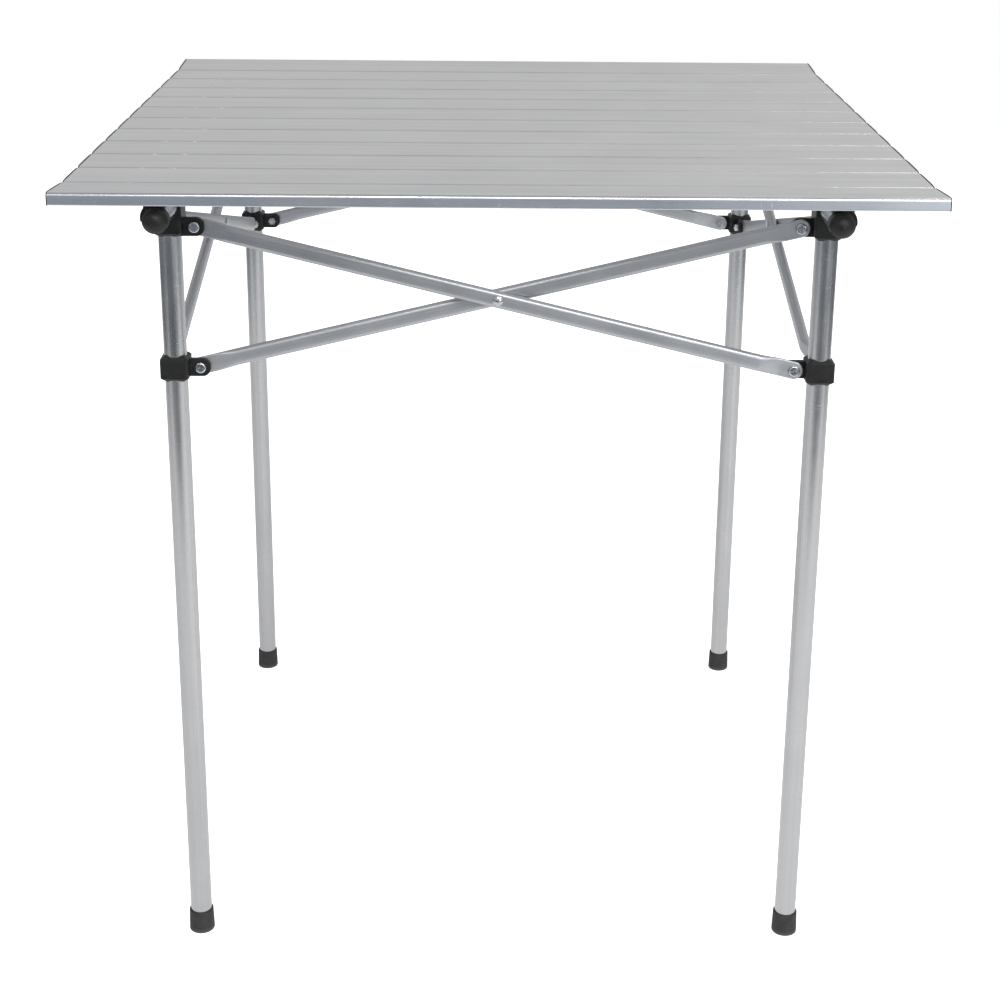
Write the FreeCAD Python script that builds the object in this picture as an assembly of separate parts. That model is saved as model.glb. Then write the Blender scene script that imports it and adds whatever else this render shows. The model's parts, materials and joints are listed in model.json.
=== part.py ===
import FreeCAD, Part
import math
import os

V = FreeCAD.Vector

# Folding side table with a roll-up slatted top. Millimetres, +Z up, floor at z = 0,
# origin on the floor under the centre of the top. Slats run along X, rails run along Y.

# overall sizes
TOP_WIDTH = 694.0        # along the slats, over the strips in their ends
TOP_DEPTH = 700.0        # across the slats
TOP_HEIGHT = 700.0       # floor to the faces of the middle slats
LEG_SPACING = 534.0      # leg axis to leg axis, the same both ways

# slats
SLAT_COUNT = 12
SLAT_THICKNESS = 10.2
END_STRIP = 1.7          # thickness of the strip that closes each end of a slat
SLAT_GAP = 0.5
SLAT_WALL = 1.0
SLAT_SHOULDER = 2.8      # rounding of the upper long edges
SLAT_LOWER_ROUND = 1.2
SLAT_WEB_SPACING = 20.0
END_SLAT_TILT = 4.0      # degrees: the clips lift the outer edges of the two end slats

# elastic cords through the slats, two runs near each end
CORD_RADIUS = 1.6
CORD_HOLE_RADIUS = 2.3
CORD_KNOT_RADIUS = 3.2
CORD_KNOT_GAP = 0.3      # between a knot and the wall it bears on
CORD_RUN_SPACING = 26.0
CORD_PAIR_INSET = 67.0   # edge of the top to the middle of a pair of runs

# tubes
LEG_RADIUS = 9.5
LEG_WALL = 1.5
RAIL_RADIUS = 9.5
RAIL_WALL = 1.2
RAIL_LENGTH = 664.0
RAIL_TOP_GAP = 2.3       # crown of a rail to the underside of the slats

# rail end caps
CAP_RADIUS = 9.85
CAP_RIM = 2.0
CAP_DOME = 6.0
CAP_SKIRT = 9.0          # length of the sleeve over the rail's end
CAP_SKIRT_RADIUS = 10.4
CAP_PLUG_LENGTH = 14.0   # into the rail
CAP_PLUG_WALL = 1.5

# hook clips under the end slats
CLIP_LENGTH = 20.0       # along the rail
CLIP_END_GAP = 1.0       # between a clip and the skirt of the rail end cap
CLIP_WALL = 3.6
CLIP_LIP = 3.0           # how far the outboard wall reaches below the rail axis
CLIP_NECK = 10.5         # half width where a clip meets its slat
CLIP_RIVET_INSET = 5.0   # from the clip's outer end
CLIP_RIVET_RADIUS = 1.6
CLIP_RIVET_HEAD_RADIUS = 2.8
CLIP_RIVET_HEAD = 0.9
CLIP_RIVET_TAIL = 1.2
CLIP_RIVET_TAIL_RADIUS = 2.4
CLIP_RIVET_TAIL_GAP = 0.05   # from the slat's inner face

# fittings and collars
BLOCK_SIZE = 23.5
BLOCK_EDGE_ROUND = 2.5
FITTING_BELOW_PIVOT = 8.0
SOCKET_ROOF = 3.2        # plastic between the leg's upper end and the saddle
SADDLE_ARM_RISE = 6.0    # above the rail axis
SADDLE_TIP_ROUND = 1.5
COLLAR_HEIGHT = 22.0
CHAMFER_RUN = 3.4
CHAMFER_RISE = 3.0
FREE_FIT = 0.3           # between curved faces that move past each other

# lugs and pivots
PIVOT_FROM_BLOCK = 9.25  # face of a fitting or collar to the pivot axis
PIVOT_BELOW_RAIL = 18.0  # rail axis down to the upper pivots
PIVOT_DROP = 120.0       # upper pivots down to the collar pivots when the table stands
LUG_THICKNESS = 4.0
LUG_HEIGHT = 15.4
LUG_REACH = 8.0          # pivot axis to the end of the lug
LUG_CORNER = 6.5
LUG_EDGE = 0.6
LUG_FACE_GAP = 0.2       # between a lug and the bar end beside it

# brace bars
BAR_HEIGHT = 14.0
BAR_THICKNESS = 8.0
BAR_CORNER = 3.4
BAR_WALL = 1.3
BAR_END_HEIGHT = 15.0
BAR_END_THICKNESS = 3.0
BAR_END_FLAT = 12.0      # pivot axis to where the flattened end begins to swell
BAR_SWELL = 14.0
BAR_CENTRE_GAP = 0.2     # from each bar to the plane between the two bars of a pair

# screws, nuts and rivets
SCREW_RADIUS = 2.0
RUNNING_FIT = 0.05
SCREW_HEAD_RADIUS = 4.6
SCREW_HEAD = 2.6
SCREW_HEAD_ROUND = 1.3
SCREW_RECESS = 1.3
SCREW_RECESS_WIDTH = 0.9
NUT_ACROSS_FLATS = 7.0
NUT_HEIGHT = 3.6
SCREW_END_GAP = 0.1      # between a turning bar and the head or nut beside it
RIVET_RADIUS = 2.5
RIVET_HEAD_RADIUS = 4.8
RIVET_HEAD_RISE = 2.4
RIVET_TAIL_RADIUS = 4.0
RIVET_TAIL_RISE = 1.4

# rubber feet
FOOT_HEIGHT = 21.0
FOOT_WALL = 1.3
FOOT_BASE_WALL = 1.9     # wall measured at the foot's lower end
FOOT_SOLE = 6.0
FOOT_ROUND = 1.2
FOOT_RIM_ROUND = 0.5

# values that follow from the sizes above
SLAT_PITCH = TOP_DEPTH / SLAT_COUNT
SLAT_WIDTH = SLAT_PITCH - SLAT_GAP
SLAT_LENGTH = TOP_WIDTH - 2 * END_STRIP
SLAT_UNDER_Z = TOP_HEIGHT - SLAT_THICKNESS
CORD_Z = TOP_HEIGHT - SLAT_THICKNESS / 2
RAIL_Z = SLAT_UNDER_Z - RAIL_TOP_GAP - RAIL_RADIUS
RAIL_END_Y = RAIL_LENGTH / 2
CLIP_OUTER_Y = RAIL_END_Y - CAP_SKIRT - CLIP_END_GAP
TOP_PIVOT_Z = RAIL_Z - PIVOT_BELOW_RAIL
COLLAR_PIVOT_Z = TOP_PIVOT_Z - PIVOT_DROP
FITTING_LOW_Z = TOP_PIVOT_Z - FITTING_BELOW_PIVOT
SADDLE_RADIUS = RAIL_RADIUS + FREE_FIT
SADDLE_FLOOR_Z = RAIL_Z - SADDLE_RADIUS
LEG_TOP_Z = SADDLE_FLOOR_Z - SOCKET_ROOF
HALF_SPACING = LEG_SPACING / 2
PIVOT_OFFSET = BLOCK_SIZE / 2 + PIVOT_FROM_BLOCK      # leg axis to pivot axis
PIVOT_SPAN = LEG_SPACING - 2 * PIVOT_OFFSET
BAR_LENGTH = math.hypot(PIVOT_SPAN, PIVOT_DROP)
BAR_ANGLE = math.degrees(math.atan2(PIVOT_DROP, PIVOT_SPAN))
CROSSING_Z = TOP_PIVOT_Z - PIVOT_DROP / 2

CORNERS = ["front_left", "front_right", "rear_right", "rear_left"]
SIDES = ["front", "right", "rear", "left"]
QUARTER_TURN = 90.0

# Depth is measured from the plane through the leg axes of a side, inwards positive.
# The outer bar lies just outside that plane and the inner bar just inside it.
OUTER_END = (-BAR_CENTRE_GAP - BAR_END_THICKNESS, -BAR_CENTRE_GAP)
INNER_END = (BAR_CENTRE_GAP, BAR_CENTRE_GAP + BAR_END_THICKNESS)


def box(x0, x1, y0, y1, z0, z1):
    return Part.makeBox(x1 - x0, y1 - y0, z1 - z0, V(x0, y0, z0))


def rod(radius, start, end):
    axis = end - start
    return Part.makeCylinder(radius, axis.Length, start, axis)


def edges_along(shape, direction):
    found = []
    for edge in shape.Edges:
        run = edge.Vertexes[-1].Point - edge.Vertexes[0].Point
        if run.Length > 0 and abs(run.normalize().dot(direction)) > 0.999:
            found.append(edge)
    return found


def edges_at_height(shape, z):
    return [edge for edge in shape.Edges
            if abs(edge.BoundBox.ZMin - z) < 1e-4 and abs(edge.BoundBox.ZMax - z) < 1e-4]


def joined(shapes):
    whole = shapes[0].multiFuse(shapes[1:])
    return whole.removeSplitter()


def turned(shape, quarter_turns):
    """Turns a piece made at the front left corner or front side round to another one."""
    copy = shape.copy()
    copy.rotate(V(0, 0, 0), V(0, 0, 1), QUARTER_TURN * quarter_turns)
    return copy


def corner_point(index):
    """Leg axis of a corner, at floor height."""
    signs = [(-1, -1), (1, -1), (1, 1), (-1, 1)]
    return V(signs[index][0] * HALF_SPACING, signs[index][1] * HALF_SPACING, 0)


def rounded_section(width, height, corner, place):
    """Closed outline of a rounded rectangle, width along local X, height along local Y."""
    w = width / 2
    h = height / 2
    k = corner * (1 - math.sqrt(0.5))
    edges = []
    for sx, sy in [(1, 1), (-1, 1), (-1, -1), (1, -1)]:
        if sx * sy > 0:
            first = V(sx * w, sy * (h - corner), 0)
            last = V(sx * (w - corner), sy * h, 0)
        else:
            first = V(sx * (w - corner), sy * h, 0)
            last = V(sx * w, sy * (h - corner), 0)
        edges.append((first, V(sx * (w - k), sy * (h - k), 0), last))
    outline = []
    for number, (first, middle, last) in enumerate(edges):
        outline.append(Part.Arc(first, middle, last).toShape())
        following = edges[(number + 1) % 4][0]
        outline.append(Part.LineSegment(last, following).toShape())
    wire = Part.Wire(outline)
    wire.Placement = place
    return wire


# tabletop

def slat_y(number):
    """Front edge of the slot that a slat fills; slats count from the front."""
    return -TOP_DEPTH / 2 + number * SLAT_PITCH


def tilted(shape, number):
    """Tilts a piece of an end slat up about the seam with its neighbour."""
    if number == 0:
        shape.rotate(V(0, slat_y(1), TOP_HEIGHT), V(1, 0, 0), -END_SLAT_TILT)
    if number == SLAT_COUNT - 1:
        shape.rotate(V(0, slat_y(SLAT_COUNT - 1), TOP_HEIGHT), V(1, 0, 0), END_SLAT_TILT)
    return shape


def cord_places():
    middle = TOP_WIDTH / 2 - CORD_PAIR_INSET
    offsets = [middle - CORD_RUN_SPACING / 2, middle + CORD_RUN_SPACING / 2]
    return [side * offset for side in (-1, 1) for offset in offsets]


def slat(number):
    y0 = slat_y(number) + SLAT_GAP / 2
    y1 = y0 + SLAT_WIDTH
    half = SLAT_LENGTH / 2
    skin = box(-half, half, y0, y1, SLAT_UNDER_Z, TOP_HEIGHT)
    upper = [e for e in edges_along(skin, V(1, 0, 0)) if e.BoundBox.ZMin > CORD_Z]
    skin = skin.makeFillet(SLAT_SHOULDER, upper)
    lower = [e for e in edges_along(skin, V(1, 0, 0)) if e.BoundBox.ZMax < SLAT_UNDER_Z + 0.1]
    skin = skin.makeFillet(SLAT_LOWER_ROUND, lower)
    y_mid = (y0 + y1) / 2
    web = SLAT_WEB_SPACING / 2
    stops = [y0 + SLAT_WALL, y_mid - web, y_mid + web, y1 - SLAT_WALL]
    chambers = []
    for index in range(3):
        near = stops[index] + (SLAT_WALL / 2 if index else 0)
        far = stops[index + 1] - (SLAT_WALL / 2 if index < 2 else 0)
        chamber = box(-half, half, near, far, SLAT_UNDER_Z + SLAT_WALL, TOP_HEIGHT - SLAT_WALL)
        outer = []
        for edge in edges_along(chamber, V(1, 0, 0)):
            y = edge.BoundBox.Center.y
            high = edge.BoundBox.ZMin > CORD_Z
            at_wall = (index == 0 and abs(y - near) < 1e-4) or (index == 2 and abs(y - far) < 1e-4)
            if high and at_wall:
                outer.append(edge)
        if outer:
            chamber = chamber.makeFillet(SLAT_SHOULDER - SLAT_WALL, outer)
        chambers.append(chamber)
    body = skin.cut(Part.makeCompound(chambers))
    hole_start = y1 - 2 * SLAT_WALL if number == 0 else y0 - 1
    hole_end = y0 + 2 * SLAT_WALL if number == SLAT_COUNT - 1 else y1 + 1
    holes = [rod(CORD_HOLE_RADIUS, V(x, hole_start, CORD_Z), V(x, hole_end, CORD_Z))
             for x in cord_places()]
    body = body.cut(Part.makeCompound(holes))
    if number in (0, SLAT_COUNT - 1):
        body = tilted(body, number).cut(clip_rivets(number))
    return body


def elastic_cords():
    """Four straight elastic runs, each knotted behind the inner walls of the two end slats."""
    seat = SLAT_GAP / 2 + SLAT_WALL + CORD_KNOT_GAP
    start = slat_y(1) - seat - 2 * CORD_KNOT_RADIUS
    length = slat_y(SLAT_COUNT - 1) + seat + 2 * CORD_KNOT_RADIUS - start
    knot = CORD_KNOT_RADIUS
    shoulder = knot + math.sqrt(knot ** 2 - CORD_RADIUS ** 2)
    runs = []
    for x in cord_places():
        outline = [
            Part.Arc(V(0, 0, 0), V(knot, knot, 0), V(CORD_RADIUS, shoulder, 0)).toShape(),
            Part.LineSegment(V(CORD_RADIUS, shoulder, 0),
                             V(CORD_RADIUS, length - shoulder, 0)).toShape(),
            Part.Arc(V(CORD_RADIUS, length - shoulder, 0), V(knot, length - knot, 0),
                     V(0, length, 0)).toShape(),
            Part.LineSegment(V(0, length, 0), V(0, 0, 0)).toShape(),
        ]
        run = Part.Face(Part.Wire(outline)).revolve(V(0, 0, 0), V(0, 1, 0), 360)
        run.translate(V(x, start, CORD_Z))
        runs.append(run)
    return Part.makeCompound(runs)


# hook clips

def end_slat_side(number):
    """Way along Y that points out of the table, for an end slat."""
    return -1 if number == 0 else 1


def hook_clips(number):
    """A pair of hooks under one end slat, open inboard so that the frame can close."""
    way = end_slat_side(number)
    near = min(way * CLIP_OUTER_Y, way * (CLIP_OUTER_Y - CLIP_LENGTH))
    far = near + CLIP_LENGTH
    reach = SADDLE_RADIUS + CLIP_WALL
    crown_z = RAIL_Z + SADDLE_RADIUS
    slat_cut = tilted(box(-TOP_WIDTH, TOP_WIDTH, -TOP_DEPTH, TOP_DEPTH,
                          SLAT_UNDER_Z, SLAT_UNDER_Z + TOP_HEIGHT), number)
    clips = []
    for side in (-1, 1):
        ring = rod(reach, V(0, near, RAIL_Z), V(0, far, RAIL_Z))
        neck = box(-CLIP_NECK, CLIP_NECK, near, far, RAIL_Z, TOP_HEIGHT)
        hook = joined([ring, neck]).cut(slat_cut)
        groove = rod(SADDLE_RADIUS, V(0, near - 1, RAIL_Z), V(0, far + 1, RAIL_Z))
        mouth = box(-SADDLE_RADIUS, reach + 1, near - 1, far + 1, 0, RAIL_Z)
        way_in = box(0, reach + 1, near - 1, far + 1, 0, crown_z)
        below = box(-reach - 1, 0, near - 1, far + 1, 0, RAIL_Z - CLIP_LIP)
        hook = hook.cut(Part.makeCompound([groove.fuse([mouth, way_in]), below]))
        lip = [e for e in edges_along(hook, V(0, 1, 0)) if e.BoundBox.ZMax < RAIL_Z - CLIP_LIP / 2]
        hook = hook.makeFillet(CLIP_WALL / 2 - 0.3, lip)
        if side > 0:
            hook = hook.mirror(V(0, 0, 0), V(1, 0, 0))
        hook.translate(V(side * HALF_SPACING, 0, 0))
        clips.append(hook.cut(clip_rivets(number)))
    return Part.makeCompound(clips)


def clip_rivets(number):
    """Blind rivets from the crowns of a pair of clips up into their slat, heads sunk."""
    way = end_slat_side(number)
    y = way * (CLIP_OUTER_Y - CLIP_RIVET_INSET)
    low = RAIL_Z + SADDLE_RADIUS
    slope = math.tan(math.radians(END_SLAT_TILT))
    rise = (abs(y) + CLIP_RIVET_TAIL_RADIUS - abs(slat_y(1))) * slope
    tail = SLAT_UNDER_Z + rise + SLAT_WALL + CLIP_RIVET_TAIL_GAP
    rivets = []
    for x in (-HALF_SPACING, HALF_SPACING):
        head = rod(CLIP_RIVET_HEAD_RADIUS, V(x, y, low), V(x, y, low + CLIP_RIVET_HEAD))
        shank = rod(CLIP_RIVET_RADIUS, V(x, y, low), V(x, y, tail))
        swell = rod(CLIP_RIVET_TAIL_RADIUS, V(x, y, tail), V(x, y, tail + CLIP_RIVET_TAIL))
        rivets.append(joined([head, shank, swell]))
    return Part.makeCompound(rivets)


# rails

def rail(side):
    x = side * HALF_SPACING
    start = V(x, -RAIL_END_Y, RAIL_Z)
    end = V(x, RAIL_END_Y, RAIL_Z)
    return rod(RAIL_RADIUS, start, end).cut(rod(RAIL_RADIUS - RAIL_WALL, start, end))


def rail_caps(side):
    """Domed plugs in both ends of one rail, with a skirt over the tube."""
    plug = RAIL_RADIUS - RAIL_WALL
    skirt = CAP_SKIRT_RADIUS
    dome_radius = (CAP_RADIUS ** 2 + CAP_DOME ** 2) / (2 * CAP_DOME)
    angle = math.asin(CAP_RADIUS / dome_radius) / 2
    mid = V(dome_radius * math.sin(angle), 0, 0)
    top = CAP_RIM + CAP_DOME
    mid.z = top - dome_radius * (1 - math.cos(angle))
    outline = [
        Part.LineSegment(V(0, 0, 0), V(plug - CAP_PLUG_WALL, 0, 0)).toShape(),
        Part.LineSegment(V(plug - CAP_PLUG_WALL, 0, 0),
                         V(plug - CAP_PLUG_WALL, 0, -CAP_PLUG_LENGTH)).toShape(),
        Part.LineSegment(V(plug - CAP_PLUG_WALL, 0, -CAP_PLUG_LENGTH),
                         V(plug, 0, -CAP_PLUG_LENGTH)).toShape(),
        Part.LineSegment(V(plug, 0, -CAP_PLUG_LENGTH), V(plug, 0, 0)).toShape(),
        Part.LineSegment(V(plug, 0, 0), V(RAIL_RADIUS, 0, 0)).toShape(),
        Part.LineSegment(V(RAIL_RADIUS, 0, 0), V(RAIL_RADIUS, 0, -CAP_SKIRT)).toShape(),
        Part.LineSegment(V(RAIL_RADIUS, 0, -CAP_SKIRT), V(skirt, 0, -CAP_SKIRT)).toShape(),
        Part.LineSegment(V(skirt, 0, -CAP_SKIRT), V(skirt, 0, 0)).toShape(),
        Part.LineSegment(V(skirt, 0, 0), V(CAP_RADIUS, 0, skirt - CAP_RADIUS)).toShape(),
        Part.LineSegment(V(CAP_RADIUS, 0, skirt - CAP_RADIUS), V(CAP_RADIUS, 0, CAP_RIM)).toShape(),
        Part.Arc(V(CAP_RADIUS, 0, CAP_RIM), mid, V(0, 0, top)).toShape(),
        Part.LineSegment(V(0, 0, top), V(0, 0, 0)).toShape(),
    ]
    caps = []
    for way in (-1, 1):
        cap = Part.Face(Part.Wire(outline)).revolve(V(0, 0, 0), V(0, 0, 1), 360)
        cap.rotate(V(0, 0, 0), V(1, 0, 0), -90 * way)
        cap.translate(V(side * HALF_SPACING, way * RAIL_END_Y, RAIL_Z))
        caps.append(cap)
    return Part.makeCompound(caps)


# legs and feet

def leg(index):
    foot = corner_point(index)
    low = foot + V(0, 0, FOOT_SOLE)
    high = foot + V(0, 0, LEG_TOP_Z)
    return rod(LEG_RADIUS, low, high).cut(rod(LEG_RADIUS - LEG_WALL, low, high))


def foot(index):
    place = corner_point(index)
    cone = Part.makeCone(LEG_RADIUS + FOOT_BASE_WALL, LEG_RADIUS + FOOT_WALL, FOOT_HEIGHT, place)
    cone = cone.makeFillet(FOOT_ROUND, edges_at_height(cone, 0))
    cone = cone.makeFillet(FOOT_RIM_ROUND, edges_at_height(cone, FOOT_HEIGHT))
    return cone.cut(rod(LEG_RADIUS, place + V(0, 0, FOOT_SOLE), place + V(0, 0, FOOT_HEIGHT + 1)))


# fittings and collars, made at the front left corner in the frame of its leg axis

def lug(depth, pivot_z):
    """Ear that reaches along +X from a block, between two depths along Y."""
    half = LUG_HEIGHT / 2
    ear = box(0, PIVOT_OFFSET + LUG_REACH, depth[0], depth[1], pivot_z - half, pivot_z + half)
    tip = [e for e in edges_along(ear, V(0, 1, 0)) if e.BoundBox.XMin > PIVOT_OFFSET]
    ear = ear.makeFillet(LUG_CORNER, tip)
    outline = [e for e in ear.Edges if e.BoundBox.YLength < 1e-6 and e.BoundBox.XMax > 1]
    ear = ear.makeFillet(LUG_EDGE, outline)
    hole = rod(SCREW_RADIUS, V(PIVOT_OFFSET, depth[0] - 1, pivot_z),
               V(PIVOT_OFFSET, depth[1] + 1, pivot_z))
    return ear.cut(hole)


def lug_pair(left_depth, right_depth, pivot_z):
    """The two lugs of one corner: along +X for its left end of a side, along +Y for its right."""
    first = lug(left_depth, pivot_z)
    second = lug(right_depth, pivot_z)
    second = second.mirror(V(0, 0, 0), V(1, 0, 0))
    second.rotate(V(0, 0, 0), V(0, 0, 1), -QUARTER_TURN)
    return [first, second]


def chamfered_block(z0, z1, upper_chamfer):
    half = BLOCK_SIZE / 2
    block = box(-half, half, -half, half, z0, z1)
    block = block.makeFillet(BLOCK_EDGE_ROUND, edges_along(block, V(0, 0, 1)))
    outer = BLOCK_SIZE / 2 - CHAMFER_RUN
    heights = [(z0, z0 + CHAMFER_RISE, outer, half)]
    if upper_chamfer:
        heights.append((z1, z1 - CHAMFER_RISE, outer, half))
    for edge_z, inner_z, narrow, wide in heights:
        low = rounded_section(2 * narrow, 2 * narrow, BLOCK_EDGE_ROUND,
                              FreeCAD.Placement(V(0, 0, edge_z), FreeCAD.Rotation()))
        high = rounded_section(2 * wide, 2 * wide, BLOCK_EDGE_ROUND,
                               FreeCAD.Placement(V(0, 0, inner_z), FreeCAD.Rotation()))
        taper = Part.makeLoft([low, high], True, True)
        slab = box(-half - 1, half + 1, -half - 1, half + 1,
                   min(edge_z, inner_z), max(edge_z, inner_z))
        block = block.cut(slab.cut(taper))
    return block


LEFT_TOP_LUG = (OUTER_END[0] - LUG_FACE_GAP - LUG_THICKNESS, OUTER_END[0] - LUG_FACE_GAP)
RIGHT_TOP_LUG = (INNER_END[1] + LUG_FACE_GAP, INNER_END[1] + LUG_FACE_GAP + LUG_THICKNESS)
LEFT_COLLAR_LUG = (INNER_END[0] - LUG_FACE_GAP - LUG_THICKNESS, INNER_END[0] - LUG_FACE_GAP)
RIGHT_COLLAR_LUG = (OUTER_END[1] + LUG_FACE_GAP, OUTER_END[1] + LUG_FACE_GAP + LUG_THICKNESS)


def at_corner(shape, index):
    """Moves a piece from the leg-axis frame to its corner."""
    shape.translate(V(-HALF_SPACING, -HALF_SPACING, 0))
    return turned(shape, index)


def top_fitting(index):
    """Leg socket with two lugs below and an open saddle for the rail on top."""
    half = BLOCK_SIZE / 2
    block = chamfered_block(FITTING_LOW_Z, SADDLE_FLOOR_Z, False)
    lugs = lug_pair(LEFT_TOP_LUG, RIGHT_TOP_LUG, TOP_PIVOT_Z)
    body = at_corner(joined([block] + lugs), index)
    centre = corner_point(index)
    saddle = box(centre.x - half, centre.x + half, centre.y - half, centre.y + half,
                 LEG_TOP_Z, RAIL_Z + SADDLE_ARM_RISE)
    long_edges = edges_along(saddle, V(0, 1, 0))
    saddle = saddle.makeFillet(SADDLE_TIP_ROUND, long_edges)
    body = joined([body, saddle])
    groove = rod(SADDLE_RADIUS, centre + V(0, -half - 1, RAIL_Z), centre + V(0, half + 1, RAIL_Z))
    mouth = box(centre.x - SADDLE_RADIUS, centre.x + SADDLE_RADIUS,
                centre.y - half - 1, centre.y + half + 1, RAIL_Z, TOP_HEIGHT)
    socket = rod(LEG_RADIUS, centre + V(0, 0, FITTING_LOW_Z - 1), centre + V(0, 0, LEG_TOP_Z))
    return body.cut(Part.makeCompound([groove.fuse(mouth), socket]))


def collar(index):
    """Sleeve that slides on the leg, with two lugs."""
    low = COLLAR_PIVOT_Z - COLLAR_HEIGHT / 2
    high = COLLAR_PIVOT_Z + COLLAR_HEIGHT / 2
    block = chamfered_block(low, high, True)
    lugs = lug_pair(LEFT_COLLAR_LUG, RIGHT_COLLAR_LUG, COLLAR_PIVOT_Z)
    body = joined([block] + lugs)
    bore = rod(LEG_RADIUS + FREE_FIT, V(0, 0, low - 1), V(0, 0, high + 1))
    return at_corner(body.cut(bore), index)


# screws at the lugs

def screw_with_nut(head_face, nut_face, pivot_z):
    """Pan-head screw along +Y through (PIVOT_OFFSET, pivot_z), and its nut."""
    centre = V(PIVOT_OFFSET, 0, pivot_z)
    head = rod(SCREW_HEAD_RADIUS, centre + V(0, head_face - SCREW_HEAD, 0),
               centre + V(0, head_face, 0))
    crown = [e for e in head.Edges if e.BoundBox.YMax < head_face - SCREW_HEAD + 0.01]
    head = head.makeFillet(SCREW_HEAD_ROUND, crown)
    arm = SCREW_HEAD_RADIUS * 0.55
    slot = SCREW_RECESS_WIDTH / 2
    y0 = head_face - SCREW_HEAD - 1
    y1 = head_face - SCREW_HEAD + SCREW_RECESS
    cross = box(PIVOT_OFFSET - arm, PIVOT_OFFSET + arm, y0, y1, pivot_z - slot, pivot_z + slot)
    cross = cross.fuse(box(PIVOT_OFFSET - slot, PIVOT_OFFSET + slot, y0, y1,
                           pivot_z - arm, pivot_z + arm))
    shank = rod(SCREW_RADIUS, centre + V(0, head_face - 0.5, 0),
                centre + V(0, nut_face + NUT_HEIGHT + 0.8, 0))
    screw = joined([head.cut(cross), shank])
    corner = NUT_ACROSS_FLATS / math.sqrt(3)
    points = [V(corner * math.cos(math.radians(60 * i)), 0, corner * math.sin(math.radians(60 * i)))
              for i in range(7)]
    nut = Part.Face(Part.makePolygon(points)).extrude(V(0, NUT_HEIGHT, 0))
    nut.translate(centre + V(0, nut_face, 0))
    nut = nut.cut(shank)
    return [screw, nut]


def corner_screws(index, left_faces, right_faces, pivot_z):
    """The two screws and nuts of one fitting or collar."""
    pieces = screw_with_nut(left_faces[0], left_faces[1], pivot_z)
    for piece in screw_with_nut(right_faces[0], right_faces[1], pivot_z):
        other = piece.mirror(V(0, 0, 0), V(1, 0, 0))
        other.rotate(V(0, 0, 0), V(0, 0, 1), -QUARTER_TURN)
        pieces.append(other)
    return at_corner(Part.makeCompound(pieces), index)


def fitting_screws(index):
    left = (LEFT_TOP_LUG[0], OUTER_END[1] + SCREW_END_GAP)
    right = (INNER_END[0] - SCREW_END_GAP, RIGHT_TOP_LUG[1])
    return corner_screws(index, left, right, TOP_PIVOT_Z)


def collar_screws(index):
    left = (LEFT_COLLAR_LUG[0], INNER_END[1] + SCREW_END_GAP)
    right = (OUTER_END[0] - SCREW_END_GAP, RIGHT_COLLAR_LUG[1])
    return corner_screws(index, left, right, COLLAR_PIVOT_Z)


# brace bars, made along +X with the first pivot at the origin, depth along +Y

def bar_shape(end_depth, body_depth, centre_hole):
    """Rounded tube with both ends pressed flat, and holes for the pivots and the rivet."""
    def section(x, depth, height, corner, shrink):
        place = FreeCAD.Placement(V(x, (depth[0] + depth[1]) / 2, 0),
                                  FreeCAD.Rotation(V(0, 1, 0), 90))
        return rounded_section(height - 2 * shrink, depth[1] - depth[0] - 2 * shrink,
                               corner, place)

    end_corner = BAR_END_THICKNESS * 0.3
    flat_x = BAR_END_FLAT
    full_x = BAR_END_FLAT + BAR_SWELL
    tube = Part.Face(section(full_x, body_depth, BAR_HEIGHT, BAR_CORNER, 0))
    tube = tube.extrude(V(BAR_LENGTH - 2 * full_x, 0, 0))
    hollow = Part.Face(section(full_x, body_depth, BAR_HEIGHT, BAR_CORNER - BAR_WALL, BAR_WALL))
    hollow = hollow.extrude(V(BAR_LENGTH - 2 * full_x, 0, 0))
    pieces = [tube]
    for pivot_x, way in ((0, 1), (BAR_LENGTH, -1)):
        flat = section(pivot_x + way * flat_x, end_depth, BAR_END_HEIGHT, end_corner, 0)
        full = section(pivot_x + way * full_x, body_depth, BAR_HEIGHT, BAR_CORNER, 0)
        pieces.append(Part.makeLoft([flat, full], True, True))
        tongue = Part.Face(section(pivot_x, end_depth, BAR_END_HEIGHT, end_corner, 0))
        pieces.append(tongue.extrude(V(way * flat_x, 0, 0)))
        end = rod(BAR_END_HEIGHT / 2, V(pivot_x, end_depth[0], 0), V(pivot_x, end_depth[1], 0))
        rim = [e for e in end.Edges if e.Curve.TypeId == "Part::GeomCircle"]
        pieces.append(end.makeFillet(end_corner, rim))
    whole = joined(pieces).cut(hollow)
    reach = 2 * BAR_THICKNESS
    holes = [rod(SCREW_RADIUS + RUNNING_FIT, V(x, -reach, 0), V(x, reach, 0))
             for x in (0, BAR_LENGTH)]
    middle = BAR_LENGTH / 2
    holes.append(rod(centre_hole, V(middle, -reach, 0), V(middle, reach, 0)))
    return whole.cut(Part.makeCompound(holes))


def outer_bar(side):
    """From the fitting at a side's left end down to the collar at its right end."""
    body = (-BAR_CENTRE_GAP - BAR_THICKNESS, -BAR_CENTRE_GAP)
    bar = bar_shape(OUTER_END, body, RIVET_RADIUS)
    bar.rotate(V(0, 0, 0), V(0, 1, 0), BAR_ANGLE)
    bar.translate(V(-HALF_SPACING + PIVOT_OFFSET, -HALF_SPACING, TOP_PIVOT_Z))
    return turned(bar, side)


def inner_bar(side):
    """From the collar at a side's left end up to the fitting at its right end."""
    body = (BAR_CENTRE_GAP, BAR_CENTRE_GAP + BAR_THICKNESS)
    bar = bar_shape(INNER_END, body, RIVET_RADIUS + RUNNING_FIT)
    bar.rotate(V(0, 0, 0), V(0, 1, 0), -BAR_ANGLE)
    bar.translate(V(-HALF_SPACING + PIVOT_OFFSET, -HALF_SPACING, COLLAR_PIVOT_Z))
    return turned(bar, side)


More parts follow.
